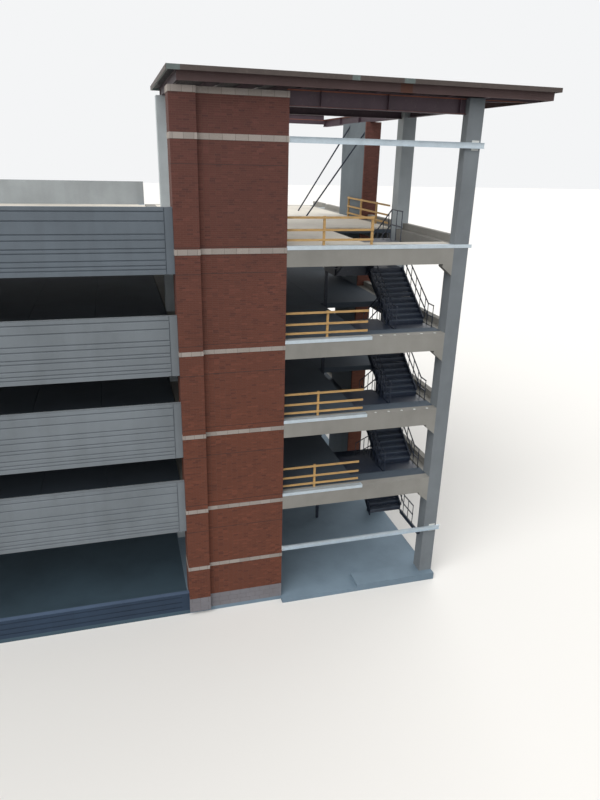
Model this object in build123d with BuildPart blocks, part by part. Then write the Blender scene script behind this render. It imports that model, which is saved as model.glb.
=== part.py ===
from build123d import *
import os

os.makedirs("parts", exist_ok=True)

# A corner of a precast concrete car park: open parking decks at the left, a stair hall at the right.
# Lengths are millimetres. X runs along the front, Y into the building, Z up from the slab's underside.

# Plan
deck_bay = 10890
deck_bays = 2
hall_width = 11100
depth = 19800
joint = 10

# Levels
slab_t = 180
ground_storey = 5020
storeys = [3220, 3230, 3450]
roof_storey = 5070

# Deck
panel_t = 200
panel_h = 2200
panel_drops = [1180, 1150, 1090, 880]
low_wall_h = 840
reveal_w = 60
reveal_d = 25
reveal_places = [0.067, 0.204, 0.396, 0.482, 0.607, 0.668, 0.785, 0.865, 0.924]
reveal_margin = 280
ledge_d = 150
ledge_h = 180
deck_col_x = 350
deck_col_y = 600
flange_t = 100
stem_h = 600
stem_top = 180
stem_bottom = 130
tees_per_bay = 4

# Stair hall
col = 600
upper_col_d = 400
mid_row = 5550
rear_row = 17250
beam_h = 720
beam_t = 350
upstand_h = 250
upstand_t = 250
hall_floor_t = 250
corbel_w = 400
corbel_h = 450
corbel_lip = 120
curb_out = 300
plinth_from = 7350
plinth_h = 150

# Brick piers
pier_w = 3920
pier_d = 800
pilaster_w = 840
pilaster_t = 170
base_h = 650
band_h = 200
thin_band_h = 170
band_proud = 12
low_band = 2030
band_drops = [170, 180, 170, 30]
high_band = 3420
pier_gap = 100
east_pier = 9970
east_pier_w = 780
east_pier_d = 3500
brick_skin = 120

# Stair
flight_w = 1640
left_flight_w = 1500
well = 60
right_risers = 11
left_risers = [7, 7, 7, 9]
low_risers = 9
going = 255
tread_t = 50
riser_t = 6
stringer_t = 60
stringer_h = 300
stringer_up = 60
strip_d = 950
stair_start = 1700
landing_d = 1500
landing_h = 300
plate_t = 50
platform_h = 150
frame_h = 200
post = 130
post_in = 70
hook = 100
opening_rear = 6100
stair_gap = 90
rail = 40
side_rail_h = 920
well_rail_h = 1150
baluster = 25
rail_post_pitch = 500

# Timber guards
guard_post = 80
guard_h = 1020
guard_rail_h = 80
guard_rail_t = 35
guard_back = 300
guard_heights = [150, 500, 930]
guard_post_at = [1400, 1440, 1700, 1430]
east_guard_posts = [2300, 4400, 6300]

# Roof
roof_over_left = 80
roof_over_right = 2560
roof_over_front = 750
roof_depth = 7600
fascia_h = 150
fascia_t = 60
steel_t = 12
weld = 1
deck_t = 70
joist_h = 330
joist_w = 100
joists = 9
joist_from = 250
rim_back = 340
girder_h = 540
girder_w = 250
mid_girder_h = 450
small_girder_h = 400
rear_rise = 270
web_t = 16
flange = 25
girder_back = 300
bracket_root = 440
stiffener_t = 20
stiffeners = [5080, 7510, 10250]
east_stiffeners = [11650, 14630]
roof_post_at = 3300

# Girts, angles and braces
girt_h = 200
girt_d = 75
girt_t = 8
girt_end = 150
low_girt = 2540
high_girt = 3610
clip_t = 15
clip_w = 280
clip_over = 70
clip_back = 350
angle_w = 200
angle_h = 120
angle_t = 10
angle_end = 7400
angle_over = 130
brace_r = 40
brace_feet = [(1920, 5330), (2370, 2030)]
brace_heads = [(2430, 4500), (230, 4150)]

# Worked out places
x_left = -(deck_bays * deck_bay + hall_width) / 2
x_hall = x_left + deck_bays * deck_bay
x_right = x_hall + hall_width
y_front = -depth / 2
y_rear = depth / 2
floors = [slab_t + ground_storey]
for storey in storeys:
    floors.append(floors[-1] + storey)
deck_floor = floors[-1]
col_top = deck_floor + roof_storey
roof_top = col_top + joist_h + deck_t
col_x = x_right - col
west_col_x = x_hall + 30
pier_x = x_hall + pier_w
mid_y = y_front + mid_row
rear_y = y_front + rear_row


def block(x0, x1, y0, y1, z0, z1):
    with Locations((x0, y0, z0)):
        Box(x1 - x0, y1 - y0, z1 - z0, align=(Align.MIN, Align.MIN, Align.MIN))


def bars_x(outlines, x0, x1, mode=Mode.ADD):
    with BuildSketch(Plane.YZ.offset(x0)) as profile:
        for outline in outlines:
            with BuildLine():
                Polyline(*outline, close=True)
            make_face()
    extrude(profile.sketch, amount=x1 - x0, mode=mode)


def bars_y(outlines, y0, y1, mode=Mode.ADD):
    with BuildSketch(Plane.XZ.offset(-y0)) as profile:
        for outline in outlines:
            with BuildLine():
                Polyline(*outline, close=True)
            make_face()
    extrude(profile.sketch, amount=-(y1 - y0), mode=mode)


def moved(outline, u, v):
    return [(p + u, q + v) for p, q in outline]


def i_section(mid, top, h, w):
    a = w / 2
    b = web_t / 2
    low = top - h
    right = [(mid + a, top), (mid + a, top - flange), (mid + b, top - flange), (mid + b, low + flange),
             (mid + a, low + flange), (mid + a, low)]
    left = [(2 * mid - u, v) for u, v in reversed(right)]
    return right + left


def channel(back, lip, top, h, t):
    s = 1 if lip > back else -1
    low = top - h
    return [(back, top), (lip, top), (lip, top - t), (back + s * t, top - t), (back + s * t, low + t),
            (lip, low + t), (lip, low), (back, low)]


# Ground slab
with BuildPart() as ground_slab:
    block(x_left, x_right, y_front, y_rear, 0, slab_t)
ground_slab.part.label = "ground_slab"
export_step(ground_slab.part, "parts/ground_slab.step")

# Curb in front of the open bay, and the raised plinth at its right end
plinth_x = x_hall + plinth_from
with BuildPart() as front_curb:
    block(pier_x, plinth_x, y_front - curb_out, y_front, 0, slab_t)
front_curb.part.label = "front_curb"
export_step(front_curb.part, "parts/front_curb.step")

plinth_section = [(y_front - curb_out, 0), (y_front, 0), (y_front, slab_t), (y_front + col, slab_t),
                  (y_front + col, slab_t + plinth_h), (y_front - curb_out, slab_t + plinth_h)]
with BuildPart() as column_plinth:
    bars_x([plinth_section], plinth_x, x_right)
column_plinth.part.label = "column_plinth"
export_step(column_plinth.part, "parts/column_plinth.step")

# Low walls round the deck's ground storey
low_top = slab_t + low_wall_h
with BuildPart() as low_walls:
    for i in range(deck_bays):
        a = x_left + i * deck_bay
        b = a + deck_bay - joint
        block(a, b, y_front, y_front + panel_t, slab_t, low_top)
        block(a, b, y_rear - panel_t, y_rear, slab_t, low_top)
    block(x_left, x_left + panel_t, y_front + panel_t + joint, y_rear - panel_t - joint, slab_t, low_top)
low_walls.part.label = "low_walls"
export_step(low_walls.part, "parts/low_walls.step")


def ribbed_panel(length):
    # Outer face at y = 0 with level reveals, and plain ends set off by upright reveals.
    block(0, length, 0, panel_t, 0, panel_h)
    grooves = []
    for place in reveal_places:
        z = panel_h * (1 - place)
        grooves.append([(0, z - reveal_w / 2), (reveal_d, z - reveal_w / 4), (reveal_d, z + reveal_w / 4),
                        (0, z + reveal_w / 2)])
    bars_x(grooves, reveal_margin, length - reveal_margin, Mode.SUBTRACT)
    with Locations((reveal_margin, 0, panel_h / 2), (length - reveal_margin, 0, panel_h / 2)):
        Box(reveal_w / 2, 2 * reveal_d, panel_h, mode=Mode.SUBTRACT)


with BuildPart() as panel:
    ribbed_panel(deck_bay - joint)

with BuildPart() as side_panel:
    ribbed_panel(depth - 2 * (panel_t + joint))

panel_z = [floors[n] - panel_drops[n] for n in range(4)]

# Ribbed panels of the front, the rear and the west side
with BuildPart() as front_panels:
    with Locations(*[(x_left + i * deck_bay, y_front, z) for z in panel_z for i in range(deck_bays)]):
        add(panel.part)
front_panels.part.label = "front_panels"
export_step(front_panels.part, "parts/front_panels.step")

with BuildPart() as rear_panels:
    spots = [(x_left + (i + 1) * deck_bay - joint, y_rear, z) for z in panel_z for i in range(deck_bays)]
    with Locations(*[Location(p, (0, 0, 180)) for p in spots]):
        add(panel.part)
rear_panels.part.label = "rear_panels"
export_step(rear_panels.part, "parts/rear_panels.step")

with BuildPart() as west_panels:
    with Locations(*[Location((x_left, y_rear - panel_t - joint, z), (0, 0, -90)) for z in panel_z]):
        add(side_panel.part)
west_panels.part.label = "west_panels"
export_step(west_panels.part, "parts/west_panels.step")

# Columns behind the panels
deck_in = x_left + panel_t
deck_cols = [deck_in, x_left + deck_bay - deck_col_x / 2, x_hall - joint - deck_col_x]
inner_front = y_front + panel_t
inner_rear = y_rear - panel_t
with BuildPart() as deck_columns:
    corners = [(x, inner_front, slab_t) for x in deck_cols[:-1]]
    corners += [(x, inner_rear - deck_col_y, slab_t) for x in deck_cols]
    with Locations(*corners):
        Box(deck_col_x, deck_col_y, deck_floor - slab_t, align=(Align.MIN, Align.MIN, Align.MIN))
deck_columns.part.label = "deck_columns"
export_step(deck_columns.part, "parts/deck_columns.step")

# Ledges on the panels' inner faces, under the tees
low_stem = -flange_t - stem_h
with BuildPart() as panel_ledges:
    for i in range(deck_bays):
        a = deck_cols[i] + deck_col_x
        length = deck_cols[i + 1] - a
        spots = [(a, y, z + low_stem - ledge_h) for y in (inner_front, inner_rear - ledge_d) for z in floors]
        with Locations(*spots):
            Box(length, ledge_d, ledge_h, align=(Align.MIN, Align.MIN, Align.MIN))
panel_ledges.part.label = "panel_ledges"
export_step(panel_ledges.part, "parts/panel_ledges.step")

# Brackets from the brick pier, which carry the front panels' right ends and the last strip
with BuildPart() as pier_brackets:
    for z in floors:
        block(deck_cols[-1], x_hall, inner_front, y_front + pier_d, z + low_stem - ledge_h, z - flange_t)
pier_brackets.part.label = "pier_brackets"
export_step(pier_brackets.part, "parts/pier_brackets.step")


def double_tee(w):
    q = w / 4
    a = stem_top / 2
    b = stem_bottom / 2
    half = [(0, 0), (0, -flange_t), (q - a, -flange_t), (q - b, low_stem), (q + b, low_stem),
            (q + a, -flange_t)]
    return half + [(w - u, v) for u, v in reversed(half)]


# Double tees from front to rear, with narrow strips over the column lines
with BuildPart() as deck_tees:
    for i in range(deck_bays):
        start = deck_cols[i] + deck_col_x
        pitch = (deck_cols[i + 1] - start + joint) / tees_per_bay
        tee = double_tee(pitch - joint)
        bars_y([moved(tee, start + k * pitch, z) for k in range(tees_per_bay) for z in floors],
               inner_front, inner_rear)
deck_tees.part.label = "deck_tees"
export_step(deck_tees.part, "parts/deck_tees.step")

with BuildPart() as deck_strips:
    strip_y1 = inner_rear - deck_col_y
    for x in deck_cols:
        strip_y0 = inner_front if x == deck_cols[-1] else inner_front + deck_col_y
        for z in floors:
            block(x, x + deck_col_x, strip_y0, strip_y1, z - flange_t, z)
deck_strips.part.label = "deck_strips"
export_step(deck_strips.part, "parts/deck_strips.step")

# Front brick pier: brick between stone bands, with a pilaster at its left
base_top = slab_t + base_h
band_tops = [low_band + slab_t + thin_band_h] + [floors[n] - band_drops[n] for n in range(4)]
band_tops += [deck_floor + high_band + band_h, col_top - pier_gap]
band_hs = [thin_band_h, thin_band_h, thin_band_h, thin_band_h, band_h, band_h, band_h]
pilaster_x = x_hall + pilaster_w


def pier_section(out):
    return [(x_hall, y_front + pier_d), (x_hall, y_front - pilaster_t - out),
            (pilaster_x, y_front - pilaster_t - out), (pilaster_x, y_front - out),
            (pier_x, y_front - out), (pier_x, y_front + pier_d)]


def pier_course(z0, z1, out):
    with BuildSketch(Plane.XY.offset(z0)) as profile:
        with BuildLine():
            Polyline(*pier_section(out), close=True)
        make_face()
    extrude(profile.sketch, amount=z1 - z0)


with BuildPart() as pier_brick:
    low = base_top
    for top, h in zip(band_tops, band_hs):
        pier_course(low, top - h, 0)
        low = top
pier_brick.part.label = "pier_brick"
export_step(pier_brick.part, "parts/pier_brick.step")

with BuildPart() as pier_bands:
    for top, h in zip(band_tops, band_hs):
        pier_course(top - h, top, band_proud)
pier_bands.part.label = "pier_bands"
export_step(pier_bands.part, "parts/pier_bands.step")

with BuildPart() as pier_base:
    pier_course(slab_t, base_top, 0)
pier_base.part.label = "pier_base"
export_step(pier_base.part, "parts/pier_base.step")

# East pier: bare concrete with a brick skin on its front end
east_y = y_front + east_pier
east_top = col_top - small_girder_h
with BuildPart() as east_pier_brick:
    block(col_x, col_x + east_pier_w, east_y, east_y + brick_skin, slab_t, east_top)
east_pier_brick.part.label = "east_pier_brick"
export_step(east_pier_brick.part, "parts/east_pier_brick.step")

with BuildPart() as east_pier_wall:
    block(col_x, col_x + east_pier_w, east_y + brick_skin, east_y + east_pier_d, slab_t, east_top)
east_pier_wall.part.label = "east_pier_wall"
export_step(east_pier_wall.part, "parts/east_pier_wall.step")

# Corner column, thinner over the top deck
with BuildPart() as corner_column:
    block(col_x, x_right, y_front, y_front + col, slab_t + plinth_h, deck_floor)
    block(col_x, x_right, y_front, y_front + upper_col_d, deck_floor, col_top)
corner_column.part.label = "corner_column"
export_step(corner_column.part, "parts/corner_column.step")

# Corbels on its left face, one under each front beam
corbel = [(0, 0), (-corbel_w, 0), (-corbel_w, -corbel_lip), (0, -corbel_h)]
with BuildPart() as corbels:
    bars_y([moved(corbel, col_x, z - beam_h) for z in floors], y_front, y_front + beam_t)
corbels.part.label = "corbels"
export_step(corbels.part, "parts/corbels.step")

# Other columns of the hall: the middle row reaches the roof, the rear row the top deck
with BuildPart() as hall_columns:
    for x in (west_col_x, col_x):
        block(x, x + col, mid_y, mid_y + col, slab_t, col_top)
        block(x, x + col, rear_y, rear_y + col, slab_t, deck_floor)
hall_columns.part.label = "hall_columns"
export_step(hall_columns.part, "parts/hall_columns.step")

# Front beams of the open bay
with BuildPart() as front_beams:
    with Locations(*[(pier_x, y_front, z - beam_h) for z in floors]):
        Box(col_x - pier_x, beam_t, beam_h, align=(Align.MIN, Align.MIN, Align.MIN))
front_beams.part.label = "front_beams"
export_step(front_beams.part, "parts/front_beams.step")

# Ledger beams of the east side, with an upstand along the outer edge
ledger = [(0, upstand_h), (-upstand_t, upstand_h), (-upstand_t, 0), (-col, 0), (-col, -beam_h), (0, -beam_h)]
with BuildPart() as east_beams:
    for y0, y1 in [(y_front + col, mid_y), (mid_y + col, east_y), (east_y + east_pier_d, rear_y),
                   (rear_y + col, y_rear)]:
        bars_y([moved(ledger, x_right, z) for z in floors], y0, y1)
east_beams.part.label = "east_beams"
export_step(east_beams.part, "parts/east_beams.step")

# Beams of the hall's west line and rear
floor_west = west_col_x + col
floor_rear = y_rear - beam_t
with BuildPart() as inner_beams:
    for y0, y1 in [(y_front + pier_d, mid_y), (mid_y + col, rear_y), (rear_y + col, y_rear)]:
        with Locations(*[(west_col_x, y0, z - beam_h) for z in floors]):
            Box(col, y1 - y0, beam_h, align=(Align.MIN, Align.MIN, Align.MIN))
    with Locations(*[(floor_west, floor_rear, z - beam_h) for z in floors]):
        Box(col_x - floor_west, beam_t, beam_h, align=(Align.MIN, Align.MIN, Align.MIN))
inner_beams.part.label = "inner_beams"
export_step(inner_beams.part, "parts/inner_beams.step")

# Stair places
stair_right = col_x - stair_gap
stair_mid = stair_right - flight_w
well_x = stair_mid - well
stair_left = well_x - left_flight_w
strip_end = y_front + strip_d
foot_y = y_front + stair_start
landing_y = foot_y + (right_risers - 1) * going
landing_end = landing_y + landing_d
counts = [low_risers, right_risers, right_risers, right_risers]
heights = [storeys[0] / (right_risers + left_risers[0])]
heights += [storey / (right_risers + left) for storey, left in zip(storeys, left_risers[1:])]
mids = [floors[n] - left_risers[n] * heights[n] for n in range(4)]

# Hall floors in units round the stair opening
with BuildPart() as hall_floors:
    for top in floors:
        low = top - hall_floor_t
        block(floor_west, pier_x - joint, y_front + pier_d, floor_rear, low, top)
        block(pier_x, stair_left - joint, y_front + beam_t, floor_rear, low, top)
        block(stair_left, col_x, y_front + beam_t, strip_end, low, top)
        block(stair_left, col_x, y_front + opening_rear, floor_rear, low, top)
hall_floors.part.label = "hall_floors"
export_step(hall_floors.part, "parts/hall_floors.step")

# Stair treads: in each storey the right flight climbs to the rear landing, the left one comes back
right_w = flight_w - 2 * stringer_t
left_w = left_flight_w - 2 * stringer_t
corner = (Align.MIN, Align.MIN, Align.MAX)
with BuildPart() as stair_treads:
    for n in range(4):
        with Locations(*[(stair_mid + stringer_t, landing_y - k * going, mids[n] - k * heights[n])
                         for k in range(1, counts[n])]):
            Box(right_w, going, tread_t, align=corner)
        with Locations(*[(stair_left + stringer_t, landing_y - k * going, mids[n] + k * heights[n])
                         for k in range(1, left_risers[n])]):
            Box(left_w, going, tread_t, align=corner)
stair_treads.part.label = "stair_treads"
export_step(stair_treads.part, "parts/stair_treads.step")

# Riser plates that hang from the treads' leading edges
with BuildPart() as stair_risers:
    for n in range(4):
        drop = heights[n] - tread_t - weld
        with Locations(*[(stair_mid + stringer_t, landing_y - k * going, mids[n] - k * heights[n] - tread_t)
                         for k in range(1, counts[n])]):
            Box(right_w, riser_t, drop, align=corner)
        with Locations(*[(stair_left + stringer_t, landing_y - (k - 1) * going - riser_t,
                          mids[n] + k * heights[n] - tread_t) for k in range(1, left_risers[n])]):
            Box(left_w, riser_t, drop, align=corner)
stair_risers.part.label = "stair_risers"
export_step(stair_risers.part, "parts/stair_risers.step")


def slope(y0, z0, y1, z1, low, high):
    return [(y0, z0 + low), (y0, z0 + high), (y1, z1 + high), (y1, z1 + low)]


# Slopes of the flights, each from its front end to the landing
right_runs = []
left_runs = []
for n in range(4):
    back = (counts[n] - 1) * going
    right_runs.append((landing_y - back, mids[n] - (counts[n] - 1) * heights[n], landing_y, mids[n]))
    back = (left_risers[n] - 1) * going
    left_runs.append((landing_y - back, floors[n] - heights[n], landing_y, mids[n]))

# Stringers: channels with the web on the treads' side
with BuildPart() as stair_stringers:
    for x, runs in ((stair_mid, right_runs), (stair_right - stringer_t, right_runs),
                    (stair_left, left_runs), (well_x - stringer_t, left_runs)):
        bars_x([slope(*run, -stringer_h, stringer_up) for run in runs], x, x + stringer_t)
    inside = (steel_t - stringer_h, stringer_up - steel_t)
    for x, runs in ((stair_mid, right_runs), (stair_left, left_runs)):
        bars_x([slope(*run, *inside) for run in runs], x, x + stringer_t - steel_t, Mode.SUBTRACT)
    for x, runs in ((stair_right, right_runs), (well_x, left_runs)):
        bars_x([slope(*run, *inside) for run in runs], x - stringer_t + steel_t, x, Mode.SUBTRACT)
stair_stringers.part.label = "stair_stringers"
export_step(stair_stringers.part, "parts/stair_stringers.step")

# Rear landings as pans with a deep rim
with BuildPart() as stair_landings:
    for z in mids:
        block(stair_left, stair_right, landing_y, landing_end, z - landing_h, z)
    for z in mids:
        with Locations(((stair_left + stair_right) / 2, (landing_y + landing_end) / 2, z - plate_t)):
            Box(stair_right - stair_left - 2 * stringer_t, landing_d - 2 * stringer_t, landing_h,
                align=(Align.CENTER, Align.CENTER, Align.MAX), mode=Mode.SUBTRACT)
stair_landings.part.label = "stair_landings"
export_step(stair_landings.part, "parts/stair_landings.step")

# Steel platforms between the front strip and the flights, and the side channel of the open landing
# that the lowest flight ends on
frame_y = right_runs[0][0]
frame_z = mids[0] - low_risers * heights[0]
hook_y = y_front + col / 2
with BuildPart() as stair_platforms:
    for run, z in zip(left_runs, floors):
        block(stair_left, well_x, strip_end, run[0], z - platform_h, z)
    for z in floors[:-1]:
        block(stair_mid, stair_right, strip_end, foot_y, z - platform_h, z)
    block(stair_right - stringer_t, stair_right, hook_y, frame_y, frame_z - frame_h, frame_z)
    block(stair_right, col_x, hook_y, hook_y + hook, frame_z - frame_h, frame_z)
stair_platforms.part.label = "stair_platforms"
export_step(stair_platforms.part, "parts/stair_platforms.step")

# Posts at the landings' rear corners
with BuildPart() as stair_posts:
    for x in (stair_left + post_in, stair_right - post_in - post):
        block(x, x + post, landing_end, landing_end + post, slab_t, mids[3])
stair_posts.part.label = "stair_posts"
export_step(stair_posts.part, "parts/stair_posts.step")


# Rail lines: front end, bend at floor level and the flight's slope. The lowest flight has one rail
side_lines = []
well_lines = []
for n in range(4):
    y0, z0, y1, z1 = right_runs[n]
    side_lines.append((strip_end, y0 - going, z0 - heights[n], y1, z1))
    y0, z0, y1, z1 = left_runs[n]
    well_lines.append((foot_y if n < 3 else strip_end, y0 - going, z0 + heights[n], y1, z1))
rail_sets = [(stair_right - rail, side_lines, side_rail_h), (stair_mid, side_lines[1:], side_rail_h),
             (well_x - rail, well_lines, well_rail_h)]


def rail_outline(start, bend_y, bend_z, end_y, end_z, top):
    upper = [(start, bend_z + top), (bend_y, bend_z + top), (end_y, end_z + top)]
    return upper + [(y, z - rail) for y, z in reversed(upper)]


# Hand rails and mid rails over the stringers
with BuildPart() as stair_rails:
    for x, lines, high in rail_sets:
        bars_x([rail_outline(*line, top) for line in lines for top in (high, high / 2)], x, x + rail)
stair_rails.part.label = "stair_rails"
export_step(stair_rails.part, "parts/stair_rails.step")

# Balusters under the rails, on the slope and on the level
with BuildPart() as stair_balusters:
    for x, lines, high in rail_sets:
        bars = []
        half = high / 2
        for start, bend_y, bend_z, end_y, end_z in lines:
            rise = (end_z - bend_z) / (end_y - bend_y)
            for k in range(1, int((end_y - bend_y) / going) + 1, 2):
                ya = bend_y + k * going
                za = bend_z + rise * k * going
                piece = (ya, za, ya + baluster, za + rise * baluster)
                bars.append(slope(*piece, stringer_up, half - rail))
                bars.append(slope(*piece, half, high - rail))
            spaces = max(1, round((bend_y - start) / rail_post_pitch))
            for k in range(spaces + 1):
                ya = start + k * (bend_y - baluster - start) / spaces
                piece = (ya, bend_z, ya + baluster, bend_z)
                bars.append(slope(*piece, 0, half - rail))
                bars.append(slope(*piece, half, high - rail))
        bars_x(bars, x + (rail - baluster) / 2, x + (rail + baluster) / 2)
stair_balusters.part.label = "stair_balusters"
export_step(stair_balusters.part, "parts/stair_balusters.step")

# Timber guards along the open front edge, and along the top deck's east side
guard_x1 = stair_left + guard_post
guard_y = y_front + guard_back
east_y0 = mid_y + col
east_y1 = mid_y + east_guard_posts[-1] + guard_post
with BuildPart() as guard_posts:
    spots = [(pier_x + x, guard_y, z) for x, z in zip(guard_post_at, floors)]
    spots.append((guard_x1 - guard_post, guard_y, deck_floor))
    spots += [(col_x - guard_post, mid_y + y, deck_floor) for y in east_guard_posts]
    with Locations(*spots):
        Box(guard_post, guard_post, guard_h, align=(Align.MIN, Align.MIN, Align.MIN))
guard_posts.part.label = "guard_posts"
export_step(guard_posts.part, "parts/guard_posts.step")

with BuildPart() as guard_rails:
    with Locations(*[(pier_x, guard_y, z + h) for z in floors for h in guard_heights]):
        Box(guard_x1 - pier_x, guard_rail_t, guard_rail_h, align=(Align.MIN, Align.MAX, Align.MIN))
    with Locations(*[(col_x - guard_post, east_y0, deck_floor + h) for h in guard_heights]):
        Box(guard_rail_t, east_y1 - east_y0, guard_rail_h, align=(Align.MAX, Align.MIN, Align.MIN))
guard_rails.part.label = "guard_rails"
export_step(guard_rails.part, "parts/guard_rails.step")

# Roof places
roof_x0 = x_hall - roof_over_left
roof_x1 = x_right + roof_over_right
roof_y0 = y_front - roof_over_front
roof_y1 = roof_y0 + roof_depth
deck_under = roof_top - deck_t
rim_y0 = roof_y0 + rim_back
rim_y1 = roof_y1 - rim_back
inner_x0 = roof_x0 + fascia_t
inner_x1 = roof_x1 - fascia_t
joist_x0 = x_hall + joist_from

# Roof sheet and the channels round its edge
with BuildPart() as roof_sheet:
    block(inner_x0, inner_x1, roof_y0 + fascia_t, roof_y1 - fascia_t, deck_under, roof_top)
roof_sheet.part.label = "roof_sheet"
export_step(roof_sheet.part, "parts/roof_sheet.step")

with BuildPart() as roof_fascia:
    bars_x([channel(roof_y0, roof_y0 + fascia_t, roof_top, fascia_h, steel_t),
            channel(roof_y1, roof_y1 - fascia_t, roof_top, fascia_h, steel_t)], roof_x0, roof_x1)
    bars_y([channel(roof_x0, roof_x0 + fascia_t, roof_top, fascia_h, steel_t),
            channel(roof_x1, roof_x1 - fascia_t, roof_top, fascia_h, steel_t)],
           roof_y0 + fascia_t + weld, roof_y1 - fascia_t - weld)
roof_fascia.part.label = "roof_fascia"
export_step(roof_fascia.part, "parts/roof_fascia.step")

# Rims that close the joist ends
with BuildPart() as roof_rims:
    bars_x([channel(rim_y0, rim_y0 + fascia_t, deck_under, joist_h, steel_t),
            channel(rim_y1, rim_y1 - fascia_t, deck_under, joist_h, steel_t)], joist_x0, inner_x1)
roof_rims.part.label = "roof_rims"
export_step(roof_rims.part, "parts/roof_rims.step")

# Joists from front to rear over the girders
joist_step = (x_right - joist_x0 - joist_w) / (joists - 1)
with BuildPart() as roof_joists:
    bars_y([i_section(joist_x0 + joist_w / 2 + k * joist_step, deck_under, joist_h, joist_w)
            for k in range(joists)], rim_y0 + fascia_t, rim_y1 - fascia_t)
roof_joists.part.label = "roof_joists"
export_step(roof_joists.part, "parts/roof_joists.step")

# Front girder with its web stiffeners
girder_y = y_front + girder_back
with BuildPart() as front_girder:
    bars_x([i_section(girder_y, col_top, girder_h, girder_w)], pier_x, col_x)
    with Locations(*[(x_hall + x, girder_y, col_top - girder_h / 2) for x in stiffeners]):
        Box(stiffener_t, girder_w, girder_h - 2 * flange)
front_girder.part.label = "front_girder"
export_step(front_girder.part, "parts/front_girder.step")

# Girders of the middle row, the rear row and the east side
side_x = col_x + col / 2
mid_line = mid_y + col / 2
rear_line = rear_y + col / 2
post_x = x_hall + roof_post_at
rear_top = col_top + rear_rise
rear_under = rear_top - girder_h
plates = [y_front + y for y in east_stiffeners] + [rear_line]
with BuildPart() as rear_girders:
    bars_x([i_section(mid_line, col_top, mid_girder_h, girder_w)], floor_west, col_x)
    bars_x([i_section(rear_line, rear_top, girder_h, girder_w)], post_x, side_x - girder_w / 2 - weld)
    bars_y([i_section(side_x, col_top, small_girder_h, girder_w)], y_front + upper_col_d, mid_y)
    bars_y([i_section(side_x, col_top, small_girder_h, girder_w)], mid_y + col, rear_line + girder_w / 2)
    with Locations(*[(side_x, y, (col_top + east_top) / 2) for y in plates]):
        Box(girder_w, stiffener_t, small_girder_h - 2 * flange)
rear_girders.part.label = "rear_girders"
export_step(rear_girders.part, "parts/rear_girders.step")

# Post under the rear girder's west end
with BuildPart() as roof_post:
    block(post_x, post_x + girder_w, rear_line - girder_w / 2, rear_line + girder_w / 2, deck_floor, rear_under)
roof_post.part.label = "roof_post"
export_step(roof_post.part, "parts/roof_post.step")

# Tapered brackets that carry the roof's right end, and the rim along their tips
tip_x = inner_x1 - fascia_t
with BuildPart() as roof_brackets:
    for y in (girder_y, mid_line):
        bars_y([[(x_right, deck_under), (tip_x, deck_under), (tip_x, col_top),
                 (x_right, deck_under - bracket_root)]], y - joist_w / 2, y + joist_w / 2)
roof_brackets.part.label = "roof_brackets"
export_step(roof_brackets.part, "parts/roof_brackets.step")

with BuildPart() as roof_end_rim:
    bars_y([channel(inner_x1, tip_x, deck_under, joist_h, steel_t)], rim_y0 + fascia_t, rim_y1 - fascia_t)
roof_end_rim.part.label = "roof_end_rim"
export_step(roof_end_rim.part, "parts/roof_end_rim.step")

# Galvanised girts in front of the corner column, and the clips that hold them
girt_tops = [slab_t + low_girt, deck_floor + high_girt]
girt_back = y_front - clip_t
with BuildPart() as girts:
    bars_x([channel(girt_back, girt_back - girt_d, top, girt_h, girt_t) for top in girt_tops],
           pier_x + clip_t, x_right + girt_end)
girts.part.label = "girts"
export_step(girts.part, "parts/girts.step")

with BuildPart() as girt_clips:
    for top in girt_tops:
        block(pier_x, pier_x + clip_t, girt_back - girt_d, y_front + girt_h, top - girt_h, top)
        block(x_right - clip_back, x_right - clip_back + clip_w, girt_back, y_front,
              top - girt_h - clip_over, top + clip_over)
girt_clips.part.label = "girt_clips"
export_step(girt_clips.part, "parts/girt_clips.step")

# Galvanised angles along the top edges of the front beams. The highest runs on before the column
angle = [(-angle_t, -angle_h), (-angle_t, angle_t), (angle_w, angle_t), (angle_w, 0), (0, 0), (0, -angle_h)]
with BuildPart() as edge_angles:
    bars_x([moved(angle, y_front, z) for z in floors[:-1]], pier_x, x_hall + angle_end)
    bars_x([moved(angle, y_front, deck_floor)], pier_x, col_x)
    block(col_x, x_right + angle_over, y_front - angle_t, y_front, deck_floor - angle_h, deck_floor + angle_t)
edge_angles.part.label = "edge_angles"
export_step(edge_angles.part, "parts/edge_angles.step")

# Slanting pipe braces from the top deck to the east pier's inner face
with BuildPart() as pipe_braces:
    for (back, foot_y), (head_y, head_z) in zip(brace_feet, brace_heads):
        foot = Vector(col_x - back, east_y + foot_y, deck_floor)
        head = Vector(col_x, east_y + head_y, deck_floor + head_z)
        run = head - foot
        with BuildSketch(Plane(origin=foot - run * 0.05, z_dir=run)):
            Circle(brace_r)
        extrude(amount=run.length * 1.1)
    split(bisect_by=Plane.XY.offset(deck_floor), keep=Keep.TOP)
    split(bisect_by=Plane.YZ.offset(col_x), keep=Keep.BOTTOM)
pipe_braces.part.label = "pipe_braces"
export_step(pipe_braces.part, "parts/pipe_braces.step")
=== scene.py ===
from math import pi, radians

import bmesh
import bpy
import numpy as np
from bpy.props import FloatProperty, FloatVectorProperty, IntProperty, PointerProperty
from mathutils import Matrix, Vector


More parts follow.
